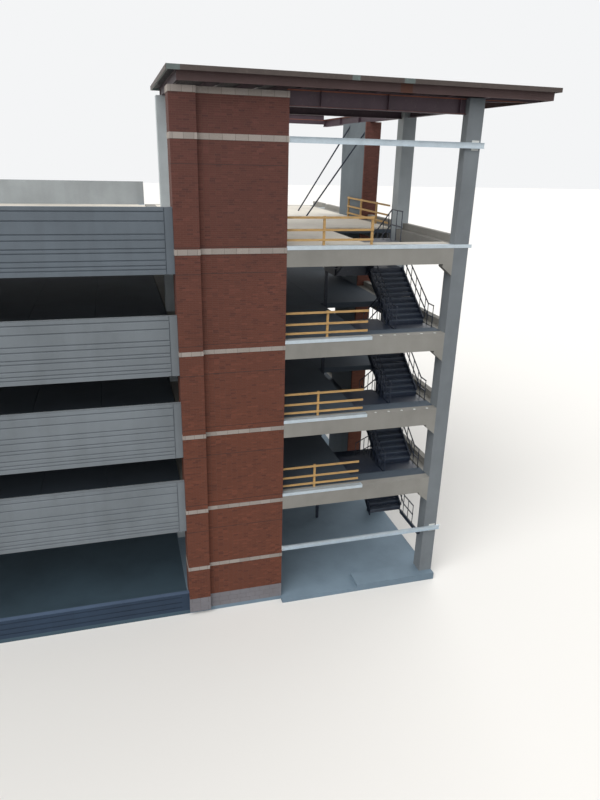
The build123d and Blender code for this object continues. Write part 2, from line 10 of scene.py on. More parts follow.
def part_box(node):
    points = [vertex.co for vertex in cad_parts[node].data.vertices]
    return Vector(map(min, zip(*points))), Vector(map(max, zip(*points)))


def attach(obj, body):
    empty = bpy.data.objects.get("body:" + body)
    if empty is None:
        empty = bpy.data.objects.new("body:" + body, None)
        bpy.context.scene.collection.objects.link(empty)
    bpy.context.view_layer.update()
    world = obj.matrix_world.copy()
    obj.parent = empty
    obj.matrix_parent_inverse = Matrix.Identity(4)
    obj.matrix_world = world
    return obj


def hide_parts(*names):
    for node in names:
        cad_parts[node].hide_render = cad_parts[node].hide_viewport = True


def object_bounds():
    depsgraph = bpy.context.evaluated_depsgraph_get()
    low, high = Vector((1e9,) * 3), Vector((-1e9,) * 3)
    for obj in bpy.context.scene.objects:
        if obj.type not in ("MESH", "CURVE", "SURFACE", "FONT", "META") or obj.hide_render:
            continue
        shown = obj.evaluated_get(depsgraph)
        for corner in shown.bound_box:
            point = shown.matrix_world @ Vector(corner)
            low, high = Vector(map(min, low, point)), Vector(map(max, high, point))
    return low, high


bl_info = {
    "name": "Multi Storey Car Park",
    "version": (1, 0, 0),
    "blender": (4, 5, 0),
    "location": "3D View > Sidebar > Car Park",
    "description": "Dresses the packed car park in brick, stone, steel and timber",
    "category": "Object",
}

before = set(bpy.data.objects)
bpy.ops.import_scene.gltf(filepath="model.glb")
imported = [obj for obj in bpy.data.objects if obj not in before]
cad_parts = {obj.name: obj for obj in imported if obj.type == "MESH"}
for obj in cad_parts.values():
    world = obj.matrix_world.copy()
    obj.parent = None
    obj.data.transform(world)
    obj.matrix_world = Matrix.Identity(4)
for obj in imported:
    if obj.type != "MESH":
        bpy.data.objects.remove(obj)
cad_low, cad_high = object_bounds()

# Lengths in metres
CLOSE = 0.0001  # points this close are one point
FACE_REACH = 0.005  # how far a face's own tint reaches to each side of it
ZONE_MARGIN = 0.01  # how far a tinted zone reaches past its piece

MM_A_METRE = 1000.0
BOX_FACES = 6
ROUND_SIDES = 16


def linear(code):
    """An sRGB hex colour as the linear colour that Blender's sockets take."""
    parts = [int(code[i:i + 2], 16) / 255 for i in (1, 3, 5)]
    return tuple(c / 12.92 if c <= 0.04045 else ((c + 0.055) / 1.055) ** 2.4 for c in parts) + (1.0,)


def colour(name, description, code):
    """A colour setting, from an sRGB hex code."""
    return FloatVectorProperty(name=name, description=description, default=linear(code), size=4,
                               min=0, max=1, subtype="COLOR")


def size(name, description, default):
    """A length setting, in metres."""
    return FloatProperty(name=name, description=description, default=default, min=0, unit="LENGTH")


def sizes(name, description, *defaults):
    """A setting of several lengths, in metres."""
    return FloatVectorProperty(name=name, description=description, default=defaults, size=len(defaults),
                               unit="LENGTH")


def angle(name, description, degrees):
    """An angle setting, from degrees."""
    return FloatProperty(name=name, description=description, default=radians(degrees), subtype="ANGLE",
                         unit="ROTATION")


def strength(name, description, default):
    """A setting of a light's strength."""
    return FloatProperty(name=name, description=description, default=default, min=0)


# Settings

class CarParkMasonry(bpy.types.PropertyGroup):
    """Bricks, stones, joints and the front pier's strip"""
    brick_length: size("Brick length", "Length of one clay brick", 0.194)
    brick_height: size("Brick height", "Height of one clay brick", 0.057)
    brick_depth: size("Brick depth", "Depth of one clay brick into the wall", 0.092)
    joint: size("Mortar joint", "Width of a mortar joint", 0.010)
    proud: size("Joint depth", "How far the mortar is raked back behind the bricks", 0.006)
    stone_length: size("Stone length", "Length of a band stone or base stone", 0.397)
    base_course: size("Base course", "Height of a course of base stones", 0.203)
    stone_proud: size("Stone face", "How far band stones stand before their bed", 0.005)
    base_proud: size("Base stone face", "How far base stones stand before their bed", 0.010)
    band_proud: size("Band face", "How far the bands' bed stands before the bricks' bed", 0.012)
    pilaster: size("Pilaster", "Width of the front pier's raised strip", 0.840)
    pilaster_proud: size("Pilaster face", "How far the strip stands before the pier", 0.170)
    tones: IntProperty(name="Tones", description="Seed of the bricks' and stones' tones", default=7)
    # Heights over which painted shade and a painted sky-blue cast grow on the brick
    painted_shade_heights: sizes("Cooler brick", "Heights between which the brick turns cooler", 8.0, 19.0)
    seal: size("Sealant joint", "Width of a sealant joint between two brick-faced units", 0.016)
    seal_proud: size("Sealant face", "How far sealant stands before the bricks", 0.003)
    seal_levels: sizes("Sealant levels", "Heights of the level sealant joints",
                       4.02, 5.22, 7.27, 8.44, 10.56, 11.67, 14.22, 15.12, 17.78)


class CarParkConcrete(bpy.types.PropertyGroup):
    """Panels, low walls and the open deck"""
    panel_height: size("Panel height", "Height of a ribbed panel", 2.2)
    # Depths behind a panel's face where the reveals' bottoms get a darker tint of painted shade
    panel_shade_depths: sizes("Panel dirt", "Depths behind a panel's face that are tinted as reveals", 0.012, 0.038)
    # Depths behind a low wall's face where its reveals' bottoms get a darker tint of painted shade
    low_wall_shade_depths: sizes("Low wall dirt", "The same depths in a low wall", 0.012, 0.026)
    reveal: size("Reveal", "Height of a reveal in a low wall", 0.050)
    reveal_depth: size("Reveal depth", "Depth of a reveal in a low wall", 0.025)
    reveal_drops: sizes("Reveal drops", "From a low wall's top to its reveals", 0.13, 0.38, 0.62)
    plain_end: size("Plain end", "Flat margin at each end of a low wall", 0.30)
    # The open deck's top skin gets a pale tint of painted sunlight
    deck_skin: size("Open deck skin", "Thickness of the open deck that has its pale tint", 0.07)


class CarParkSteel(bpy.types.PropertyGroup):
    """Roof sheet, weld plates, and the marks on the roof's steel"""
    rib_pitch: size("Rib pitch", "Spacing of the ribs of the roof sheet", 0.200)
    rib_top: size("Rib crown", "Width of a rib's crown", 0.090)
    rib_slope: size("Rib slope", "Width of each sloping side of a rib", 0.020)
    sheet: size("Sheet thickness", "Thickness of the roof sheet", 0.0015)
    plates: IntProperty(name="Weld plates", description="Weld plates on one front beam", default=5, min=1)
    plate: size("Weld plate", "Width of a weld plate on the front beams", 0.10)
    plate_t: size("Plate thickness", "How far a weld plate stands above the beam", 0.008)
    plate_from: size("First plate", "From the pier's left edge to the first weld plate", 7.80)
    plate_step: size("Plate spacing", "Spacing of the weld plates", 0.575)
    plate_back: size("Plate setback", "From the beam's face to the weld plates", 0.09)
    rust_drops: sizes("Top rust", "Depths of the rust line below the front girder's top", 0.024, 0.050)
    rust_rises: sizes("Foot rust", "Heights of the rust line over the front girder's foot", 0.020, 0.026)
    rusty_rim: sizes("Rusty rim", "Start and end of the rusty patch on the roof's rims", 12.98, 13.42)
    splices: sizes("Splices", "Starts and ends of the splice plates on the roof's edge",
                   5.27, 5.68, 11.14, 11.41, 12.95, 13.34)


class CarParkColours(bpy.types.PropertyGroup):
    """Tints of every finish"""
    panel: colour("Panels", "Ribbed precast panels", "#7A8186")
    # Painted shade: a darker tint for the bottoms of the panels' reveals, where shade falls
    reveal: colour("Reveals", "Bottoms of the panels' reveals", "#6B7278")
    low_wall: colour("Low walls", "Low walls of the ground storey, as they look in shade", "#2B3C50")
    # Painted shade: a darker tint for the bottoms of the low walls' reveals
    low_wall_reveal_shade: colour("Low wall reveals", "Bottoms of the low walls' reveals", "#263548")
    # Painted light: a paler tint on the low walls' top faces, where more light falls than on their fronts
    lit_low_wall_top: colour("Low wall tops", "Top faces of the low walls, as they look in shade", "#4E6078")
    # Painted light: a paler tint on the panels' plain inner faces, as sunlit faces
    lit_panel_back: colour("Panel backs", "Plain inner faces of the panels", "#B4B6B4")
    concrete: colour("Beam concrete", "Beams, corbels and ledges", "#8E8C86")
    # Painted shade: a darker tint for the top deck's panels, which stand in the roof's shade
    shaded_panel_top: colour("Top panels", "Ribbed panels of the top deck", "#666F77")
    column: colour("Column concrete", "Corner column", "#767C80")
    # Painted shade: a darker tint for the east pier's concrete, which stands in the roof's shade
    shaded_pier: colour("Rear pier concrete", "Concrete pier of the east side", "#636C72")
    # Painted light: a much paler tint for the columns behind the front, which lightens the roof's shade on
    # them
    lit_hall_column: colour("Inner column concrete", "Columns behind the front", "#B2BABE")
    ground: colour("Ground slab", "Floated ground slab", "#748795")
    ground_deck: colour("Ground slab under the decks", "The same slab in the shade of the decks", "#405562")
    deck: colour("Covered decks", "Tees and floors under cover, as they look in shade", "#47525D")
    # Painted light: a near-white tint for the open top deck, as sunlit
    sunlit_deck_top: colour("Open deck", "The open top deck", "#D6D0C4")
    brick_dark: colour("Dark brick", "Darkest bricks", "#573024")
    brick_mid: colour("Brick", "Most bricks", "#663929")
    brick_light: colour("Light brick", "Lightest bricks", "#734130")
    mortar: colour("Mortar", "Joints between the bricks", "#6A4C40")
    seal: colour("Sealant", "Sealant in the control joints", "#2C1E1C")
    seal_dust: colour("Sealant dust", "Dust on the sealant", "#332321")
    band: colour("Bands", "Smooth cast stone", "#9F968F")
    stone_mortar: colour("Stone mortar", "Joints between the stones", "#68625D")
    base: colour("Base", "Base stones", "#807E83")
    galvanised: colour("Galvanised steel", "Zinc on angles and girts", "#BECAD2")
    # Painted shade: the roof sheet's near-black tint is the deep shade under the roof
    sheet: colour("Roof sheet", "Primed underside of the roof sheet", "#302D34")
    sheet_dust: colour("Roof sheet dust", "Dust on the roof sheet", "#959799")
    clip: colour("Clip plates", "Pale primer of the girts' clips and the weld plates", "#D2D4D0")
    clip_dust: colour("Clip dust", "Dust on the clips and the weld plates", "#BCB8B3")
    # Painted light: the treads' tint is paler than the stair paint, as a painted highlight on the treads
    tread: colour("Treads", "Paint of the treads", "#3C4654")
    tread_dust: colour("Tread dust", "Dust on the treads", "#6F7376")
    stair: colour("Stair paint", "Satin paint of the stair", "#1F2838")
    stair_dust: colour("Stair dust", "Dust on the stair's paint", "#616369")
    roof_steel: colour("Girders", "Primed steel of the girders and joists", "#43323C")
    steel_dust: colour("Girder dust", "Dust on the girders and joists", "#5D5252")
    rim: colour("Roof rims", "Primed steel of the roof's rims", "#574140")
    rim_dust: colour("Rim dust", "Dust on the roof's rims", "#695955")
    rim_rust: colour("Rim rust", "Rusty patch on the roof's rims", "#5A3120")
    rust: colour("Rust", "Rust along the front girder's edges", "#8A4F36")
    fascia: colour("Fascia", "Primed steel of the roof's edge", "#453B37")
    fascia_dust: colour("Fascia dust", "Dust on the roof's edge", "#6F655D")
    splice: colour("Splice plates", "Bare primer at the fascia's splices", "#5E6866")
    timber: colour("Timber", "Sawn softwood of the guards", "#B8945F")
    floor: colour("Floor", "Studio floor", "#E8E6E2")
    floor_bounce: colour("Floor bounce", "What the floor throws back on the building", "#5C5E60")
    backdrop: colour("Backdrop", "What the camera sees past the floor", "#F4F5F6")


class CarParkStage(bpy.types.PropertyGroup):
    """Camera, floor and lights"""
    camera_at: FloatVectorProperty(name="Camera", description="Place of the camera",
                                   default=(3.44, -32.1, 18.1), subtype="TRANSLATION", unit="LENGTH")
    heading: angle("Heading", "Camera's turn to the right of the building's depth", 16.21)
    dip: angle("Dip", "Camera's tilt below the horizon", 20.93)
    roll: angle("Roll", "Camera's roll", 1.54)
    sensor: FloatProperty(name="Sensor", description="Width of the sensor in mm", default=36.0, min=1)
    lens: FloatProperty(name="Lens", description="Focal length in mm", default=28.69, min=1)
    sight: size("Sight", "Distance that the camera sees", 1000.0)
    floor_reach: size("Floor reach", "From the floor's middle to its edges", 400.0)
    key: strength("Key light", "Strength of the soft front light", 1.9)
    key_from: FloatVectorProperty(name="Key light from", description="Direction of the front light",
                                  default=(-0.5, -0.5, 0.707), subtype="DIRECTION")
    back: strength("Back light", "Strength of the soft rear light", 0.7)
    back_from: FloatVectorProperty(name="Back light from", description="Direction of the rear light",
                                   default=(0.5, 0.6, 0.62), subtype="DIRECTION")
    softness: angle("Softness", "Angle that each light fills", 50)
    horizon: strength("Fill light at the horizon", "Strength of the soft fill from the sides", 1.15)
    zenith: strength("Fill light overhead", "Strength of the soft fill from above", 0.55)


class CarParkSettings(bpy.types.PropertyGroup):
    """All settings of the car park"""
    masonry: PointerProperty(type=CarParkMasonry)
    concrete: PointerProperty(type=CarParkConcrete)
    steel: PointerProperty(type=CarParkSteel)
    colours: PointerProperty(type=CarParkColours)
    stage: PointerProperty(type=CarParkStage)


# Nodes and materials

def add_node(tree, kind, settings=None, links=None):
    """Adds a node, sets its fields and sockets, and links its inputs."""
    node = tree.nodes.new(kind)
    for key, value in (settings or {}).items():
        if isinstance(key, int) or key in node.inputs:
            node.inputs[key].default_value = value
        else:
            setattr(node, key, value)
    for key, source in (links or {}).items():
        tree.links.new(source, node.inputs[key])
    return node


def new_material(name):
    """An empty material: its tree, shader and Object coordinates."""
    material = bpy.data.materials.new(name)
    material.use_nodes = True
    tree = material.node_tree
    tree.nodes.clear()
    shader = tree.nodes.new("ShaderNodeBsdfPrincipled")
    add_node(tree, "ShaderNodeOutputMaterial", links={"Surface": shader.outputs["BSDF"]})
    place = add_node(tree, "ShaderNodeTexCoord").outputs["Object"]
    return material, tree, shader, place


def ramp(tree, source, stops):
    """A colour ramp over (position, colour) stops."""
    node = add_node(tree, "ShaderNodeValToRGB", links={0: source})
    elements = node.color_ramp.elements
    while len(elements) < len(stops):
        elements.new(0.5)
    for element, (position, tint) in zip(elements, stops):
        element.position = position
        element.color = tint
    return node.outputs["Color"]


def mix(tree, factor, low, high, blend="MIX"):
    """Mixes two colours; factor, low and high are sockets or values."""
    node = add_node(tree, "ShaderNodeMix", {"data_type": "RGBA", "blend_type": blend})
    for index, value in ((0, factor), (6, low), (7, high)):
        if isinstance(value, bpy.types.NodeSocket):
            tree.links.new(value, node.inputs[index])
        else:
            node.inputs[index].default_value = value
    return node.outputs[2]


def shade(tint, times):
    """A tint made darker or lighter."""
    return tuple(min(1.0, c * times) for c in tint[:3]) + (1.0,)


def grey(level):
    """A linear grey, mostly to multiply a colour with."""
    return (level, level, level, 1.0)


def grain(tree, place, width, detail=4.0, squeeze=(1, 1, 1), roughness=0.5):
    """Noise with features of a width in mm. A squeeze under 1 draws them out along that axis."""
    mapped = add_node(tree, "ShaderNodeMapping", {"Scale": squeeze}, {"Vector": place}).outputs["Vector"]
    settings = {"Scale": MM_A_METRE / width, "Detail": detail, "Roughness": roughness}
    return add_node(tree, "ShaderNodeTexNoise", settings, {"Vector": mapped}).outputs["Fac"]


def cells(tree, place, pitch):
    """A Voronoi texture with cells of a pitch in mm."""
    return add_node(tree, "ShaderNodeTexVoronoi", {"Scale": MM_A_METRE / pitch}, {"Vector": place})


def zone(tree, place, axis, low, high):
    """1 between two places along an axis, else 0."""
    along = add_node(tree, "ShaderNodeSeparateXYZ", links={0: place}).outputs[axis]
    settings = {"operation": "COMPARE", 1: (low + high) / 2, 2: (high - low) / 2}
    return add_node(tree, "ShaderNodeMath", settings, {0: along}).outputs[0]


def retint(tree, place, base, tint, zones):
    """Keeps the texture and changes its tint inside zones of (axis, low, high, new tint)."""
    for axis, low, high, new in zones:
        ratio = tuple(n / t for n, t in zip(new[:3], tint[:3])) + (1.0,)
        base = mix(tree, zone(tree, place, axis, low, high), base, mix(tree, 1.0, base, ratio, "MULTIPLY"))
    return base


def face_zone(axis, place, tint):
    """A zone that holds only the faces at a place along an axis."""
    return (axis, place - FACE_REACH, place + FACE_REACH, tint)


def depth_zone(axis, face, depths, tint):
    """A zone between two depths behind an outer face, towards the building's middle at 0."""
    near, far = depths
    if face < 0:
        return (axis, face + near, face + far, tint)
    return (axis, face - far, face - near, tint)


def bump(tree, shader, height, distance, share):
    """Raises the surface by up to a distance where height is 1."""
    node = add_node(tree, "ShaderNodeBump", {"Distance": distance, "Strength": share}, {"Height": height})
    tree.links.new(node.outputs["Normal"], shader.inputs["Normal"])


def cast_concrete(name, tint, blotch=2000, streaks=0.35, sand=4.5, zones=()):
    """Concrete cast in a mould: cloudy tone, faint runs down the faces, a sandy skin with its grains drawn
    about 4 mm wide so that they show, and air holes up to 6 mm wide. Blotch and sand are widths in mm."""
    material, tree, shader, place = new_material(name)
    cloud = grain(tree, place, blotch, detail=6.0, roughness=0.62)
    base = ramp(tree, cloud, [(0.30, shade(tint, 0.86)), (0.52, tint), (0.74, shade(tint, 1.12))])
    runs = ramp(tree, grain(tree, place, 455, detail=5.0, squeeze=(1, 1, 0.12)),
                [(0.42, grey(1)), (0.80, (0.80, 0.79, 0.78, 1))])
    base = mix(tree, streaks, base, runs, "MULTIPLY")
    fine = grain(tree, place, sand, detail=3.0)
    skin = ramp(tree, fine, [(0.30, grey(0.86)), (0.70, grey(1.1))])
    base = mix(tree, 0.5, base, skin, "MULTIPLY")
    holes = cells(tree, place, 36).outputs["Distance"]
    pits = ramp(tree, holes, [(0.05, grey(0.55)), (0.09, grey(1))])
    base = mix(tree, 0.6, base, pits, "MULTIPLY")
    tree.links.new(retint(tree, place, base, tint, zones), shader.inputs["Base Color"])
    shader.inputs["Roughness"].default_value = 0.88
    bump(tree, shader, mix(tree, 0.5, fine, pits), distance=0.004, share=0.6)
    return material


def floated_slab(name, tint, zones=()):
    """Floated concrete floor: soft cloudy stains, damp patches about a metre wide, and grit drawn about 6 mm
    wide so that it shows."""
    material, tree, shader, place = new_material(name)
    cloud = grain(tree, place, 3570, detail=7.0, roughness=0.6)
    base = ramp(tree, cloud, [(0.28, shade(tint, 0.78)), (0.50, tint), (0.72, shade(tint, 1.15))])
    wet = ramp(tree, grain(tree, place, 1110, detail=4.0), [(0.55, grey(1)), (0.75, (0.82, 0.83, 0.85, 1))])
    base = mix(tree, 0.6, base, wet, "MULTIPLY")
    fine = grain(tree, place, 6.2, detail=3.0)
    skin = ramp(tree, fine, [(0.3, grey(0.9)), (0.7, grey(1.08))])
    base = mix(tree, 0.35, base, skin, "MULTIPLY")
    tree.links.new(retint(tree, place, base, tint, zones), shader.inputs["Base Color"])
    shader.inputs["Roughness"].default_value = 0.8
    bump(tree, shader, fine, distance=0.002, share=0.4)
    return material


def fired_brick(name, colours, painted_shade_heights):
    """Extruded clay brick with a wire-cut face: each brick has its own tone, and upright drag marks drawn
    about 8 mm apart so that they show. Higher up the brick turns cooler and darker: painted shade of the roof
    with a painted blue cast of the sky."""
    material, tree, shader, place = new_material(name)
    tone = add_node(tree, "ShaderNodeAttribute", {"attribute_name": "tone"}).outputs["Fac"]
    base = ramp(tree, tone, [(0.0, colours.brick_dark), (0.2, colours.brick_mid), (0.8, colours.brick_mid),
                             (1.0, colours.brick_light)])
    height = add_node(tree, "ShaderNodeSeparateXYZ", links={0: place}).outputs["Z"]
    climb = add_node(tree, "ShaderNodeMapRange", {"From Min": painted_shade_heights[0], "From Max": painted_shade_heights[1]},
                     {"Value": height})
    # Painted shade and sky-blue cast: the brick is tinted cooler and darker with height
    painted_shade = ramp(tree, climb.outputs[0], [(0.0, grey(1)), (1.0, (0.76, 0.86, 1.25, 1))])
    base = mix(tree, 1.0, base, painted_shade, "MULTIPLY")
    drift = ramp(tree, grain(tree, place, 2220, detail=5.0),
                 [(0.3, grey(0.86)), (0.7, (1.1, 1.08, 1.06, 1))])
    base = mix(tree, 0.8, base, drift, "MULTIPLY")
    drag = grain(tree, place, 8.3, detail=3.0, squeeze=(1, 1, 0.25))
    wires = ramp(tree, drag, [(0.3, grey(0.8)), (0.7, grey(1.12))])
    base = mix(tree, 0.4, base, wires, "MULTIPLY")
    tree.links.new(base, shader.inputs["Base Color"])
    shader.inputs["Roughness"].default_value = 0.85
    bump(tree, shader, drag, distance=0.003, share=0.5)
    return material


def cast_stone(name, tint, spread, relief):
    """Cast stone blocks: each has its own tone, and specks drawn about 11 mm wide so that they show. The
    relief is low for the smooth bands and high for the rough base."""
    material, tree, shader, place = new_material(name)
    tone = add_node(tree, "ShaderNodeAttribute", {"attribute_name": "tone"}).outputs["Fac"]
    base = ramp(tree, tone, [(0.0, shade(tint, 1 - spread)), (0.5, tint), (1.0, shade(tint, 1 + spread))])
    speck = grain(tree, place, 11, detail=3.0)
    specks = ramp(tree, speck, [(0.32, grey(0.78)), (0.62, grey(1.08))])
    base = mix(tree, 0.7, base, specks, "MULTIPLY")
    dirt_and_shade = ramp(tree, grain(tree, place, 910, detail=5.0, squeeze=(1, 1, 0.3)),
                [(0.45, grey(1)), (0.8, (0.8, 0.77, 0.73, 1))])
    base = mix(tree, 0.6, base, dirt_and_shade, "MULTIPLY")
    tree.links.new(base, shader.inputs["Base Color"])
    shader.inputs["Roughness"].default_value = 0.9
    bump(tree, shader, speck, distance=relief, share=0.7)
    return material


def mortar_bed(name, tint):
    """Raked lime and cement mortar: matt, with sand drawn about 4 mm wide so that it shows."""
    material, tree, shader, place = new_material(name)
    sand = grain(tree, place, 3.8, detail=3.0)
    base = ramp(tree, sand, [(0.3, shade(tint, 0.85)), (0.7, shade(tint, 1.12))])
    tree.links.new(base, shader.inputs["Base Color"])
    shader.inputs["Roughness"].default_value = 0.95
    bump(tree, shader, sand, distance=0.002, share=0.5)
    return material


def zinc(name, tint):
    """Hot-dip galvanised steel: spangle drawn about 40 mm wide so that it shows, with dull white bloom."""
    material, tree, shader, place = new_material(name)
    spangle = cells(tree, place, 40).outputs["Color"]
    value = add_node(tree, "ShaderNodeSeparateColor", links={"Color": spangle}).outputs["Red"]
    base = ramp(tree, value, [(0.0, shade(tint, 0.94)), (1.0, shade(tint, 1.06))])
    bloom = ramp(tree, grain(tree, place, 333, detail=5.0), [(0.4, grey(1)), (0.75, (0.84, 0.85, 0.86, 1))])
    tree.links.new(mix(tree, 0.7, base, bloom, "MULTIPLY"), shader.inputs["Base Color"])
    shader.inputs["Metallic"].default_value = 0.55
    rough = add_node(tree, "ShaderNodeMapRange", {"To Min": 0.38, "To Max": 0.6}, {"Value": value})
    tree.links.new(rough.outputs["Result"], shader.inputs["Roughness"])
    return material


def painted_steel(name, tint, dust, rough, zones=()):
    """Steel under paint or primer: slightly uneven film, dusty places, and grit drawn about 7 mm wide so that
    it shows."""
    material, tree, shader, place = new_material(name)
    film = grain(tree, place, 625, detail=6.0, squeeze=(1, 1, 0.6))
    base = ramp(tree, film, [(0.3, shade(tint, 0.82)), (0.55, tint), (0.8, shade(tint, 1.2))])
    patches = ramp(tree, grain(tree, place, 111, detail=6.0, roughness=0.7),
                   [(0.56, grey(0)), (0.72, grey(1))])
    base = mix(tree, mix(tree, 0.5, grey(0), patches), base, dust)
    tree.links.new(retint(tree, place, base, tint, zones), shader.inputs["Base Color"])
    shader.inputs["Roughness"].default_value = rough
    bump(tree, shader, grain(tree, place, 7, detail=2.0), distance=0.0015, share=0.4)
    return material


def sawn_timber(name, tint):
    """Sawn softwood: grain along the front rails, drawn about 33 mm wide so that it shows, and grey
    weathering."""
    material, tree, shader, place = new_material(name)
    lines = grain(tree, place, 33, detail=4.0, squeeze=(0.12, 1, 1))
    base = ramp(tree, lines, [(0.3, shade(tint, 0.68)), (0.5, tint), (0.75, shade(tint, 1.18))])
    weather = ramp(tree, grain(tree, place, 770, detail=4.0), [(0.45, grey(1)), (0.8, (0.74, 0.74, 0.76, 1))])
    tree.links.new(mix(tree, 0.6, base, weather, "MULTIPLY"), shader.inputs["Base Color"])
    shader.inputs["Roughness"].default_value = 0.75
    bump(tree, shader, lines, distance=0.002, share=0.5)
    return material


# Meshes

def finish_piece(bm, name, material, replaced=()):
    """Turns a bmesh into a piece that rides on the building."""
    mesh = bpy.data.meshes.new(name)
    bmesh.ops.recalc_face_normals(bm, faces=bm.faces)
    bm.to_mesh(mesh)
    bm.free()
    piece = bpy.data.objects.new(name, mesh)
    bpy.context.scene.collection.objects.link(piece)
    mesh.materials.append(material)
    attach(piece, "root")
    if replaced:
        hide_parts(*replaced)
    return piece


def add_box(bm, low, high):
    """Adds a box from its lowest to its highest corner."""
    low, high = Vector(low), Vector(high)
    spread = Matrix.Diagonal((*(high - low), 1.0))
    bmesh.ops.create_cube(bm, size=1.0, matrix=Matrix.Translation((low + high) / 2) @ spread)


def joined(parts):
    """One bmesh from many small ones, which it frees."""
    whole = bmesh.new()
    holder = bpy.data.meshes.new("holder")
    for part in parts:
        part.to_mesh(holder)
        part.free()
        whole.from_mesh(holder)
    bpy.data.meshes.remove(holder)
    return whole


def blocks(rows):
    """One bmesh of rows of boxes. Each row is made alone, which keeps the operators' meshes small."""
    def row_mesh(row):
        part = bmesh.new()
        for low, high in row:
            add_box(part, low, high)
        return part
    return joined(row_mesh(row) for row in rows)


def give_tones(piece, seed):
    """Gives each block of a piece its own tone from 0 to 1."""
    count = len(piece.data.polygons)
    tones = np.random.default_rng(seed).random(count // BOX_FACES + 1)
    values = np.repeat(tones, BOX_FACES)[:count].astype(np.float32)
    piece.data.attributes.new("tone", "FLOAT", "FACE").data.foreach_set("value", values)


def wall_row(face, z0, z1, block, owns):
    """Blocks of one course along a wall face. At an outer corner that the face owns, its last block goes
    round it. At one that it doesn't own, the course stops behind the other face's block."""
    start, end, outward, outer_start, outer_end = face
    length, joint, depth, proud = block
    along = (end - start).normalized()
    trim = -proud if owns else depth - proud + joint
    first = trim if outer_start else 0.0
    last = (end - start).length - (trim if outer_end else 0.0)
    count = max(1, round((last - first + joint) / (length + joint)))
    pitch = (last - first + joint) / count
    row = []
    for k in range(count):
        near = first + k * pitch
        corners = [start + along * u + outward * v for u in (near, near + pitch - joint)
                   for v in (proud, proud - depth)]
        low = Vector((min(c.x for c in corners), min(c.y for c in corners), z0))
        high = Vector((max(c.x for c in corners), max(c.y for c in corners), z1))
        row.append((low, high))
    return row


def flat(x, y):
    """A point or direction on the ground."""
    return Vector((x, y, 0.0))


def pier_faces(m):
    """The front pier's outline: each face has its start, its end, its outward direction, and whether its
    start and its end are outer corners."""
    low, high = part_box("pier_brick")
    left = low.x
    step = left + m.pilaster
    front = low.y
    main = front + m.pilaster_proud
    return [
        (flat(left, high.y), flat(left, front), flat(-1, 0), True, True),
        (flat(left, front), flat(step, front), flat(0, -1), True, True),
        (flat(step, front), flat(step, main), flat(1, 0), True, False),
        (flat(step, main), flat(high.x, main), flat(0, -1), False, True),
        (flat(high.x, main), flat(high.x, high.y), flat(1, 0), True, True),
        (flat(high.x, high.y), flat(left, high.y), flat(0, 1), True, True),
    ]


def level_runs(node):
    """The height spans of a node's stacked solids, lowest first."""
    zs = np.array([v.co.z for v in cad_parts[node].data.vertices])
    levels = np.unique(zs.round(4))
    return list(zip(levels[0::2], levels[1::2]))


def masonry_rows(faces, z0, z1, course, block):
    """Courses of blocks between two heights, in which the faces own their corners by turns. A block is its
    length, joint, depth and how far it stands proud."""
    joint = block[1]
    count = max(1, round((z1 - z0) / course))
    rise = (z1 - z0) / count
    rows = []
    for c in range(count):
        for k, face in enumerate(faces):
            foot = z0 + c * rise
            rows.append(wall_row(face, foot, foot + rise - joint, block, (k + c) % 2 == 0))
    return rows


def solid_boxes(node):
    """The lowest and highest corner of each solid of a node, in the order of the lowest corners."""
    bm = bmesh.new()
    bm.from_mesh(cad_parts[node].data)
    bmesh.ops.remove_doubles(bm, verts=bm.verts, dist=CLOSE)
    loose = set(bm.verts)
    boxes = []
    while loose:
        solid = [loose.pop()]
        for corner in solid:
            for edge in corner.link_edges:
                other = edge.other_vert(corner)
                if other in loose:
                    loose.remove(other)
                    solid.append(other)
        places = np.array([corner.co for corner in solid])
        boxes.append((Vector(places.min(axis=0)), Vector(places.max(axis=0))))
    bm.free()
    return sorted(boxes, key=lambda box: tuple(box[0]))


def points_of(geometry):
    """The vertices among what a bmesh operator returns."""
    return [item for item in geometry if isinstance(item, bmesh.types.BMVert)]


def revealed_wall(low, high, c):
    """One low wall with reveals in its outer face, which looks away from the building's middle."""
    wall = bmesh.new()
    add_box(wall, low, high)
    along = 0 if high.x - low.x > high.y - low.y else 1
    across = 1 - along
    outer = low[across] if low[across] + high[across] < 0 else high[across]
    ends = (low[along] + c.plain_end, high[along] - c.plain_end)
    cuts = [(along, place) for place in ends]
    for drop in c.reveal_drops:
        cuts += [(2, high.z - drop), (2, high.z - drop - c.reveal)]
    for axis, place in cuts:
        bmesh.ops.bisect_plane(wall, geom=wall.verts[:] + wall.edges[:] + wall.faces[:],
                               plane_co=[place if i == axis else 0 for i in range(3)],
                               plane_no=[1 if i == axis else 0 for i in range(3)])
    strips = []
    for face in wall.faces:
        middle = face.calc_center_median()
        in_run = ends[0] < middle[along] < ends[1]
        in_reveal = any(drop < high.z - middle.z < drop + c.reveal for drop in c.reveal_drops)
        if abs(middle[across] - outer) < CLOSE and in_run and in_reveal:
            strips.append(face)
    made = bmesh.ops.extrude_face_region(wall, geom=strips)["geom"]
    bmesh.ops.delete(wall, geom=strips, context="FACES_ONLY")
    inward = Vector((0, 0, 0))
    inward[across] = c.reveal_depth if outer == low[across] else -c.reveal_depth
    bmesh.ops.translate(wall, verts=points_of(made), vec=inward)
    return wall


# Finishes

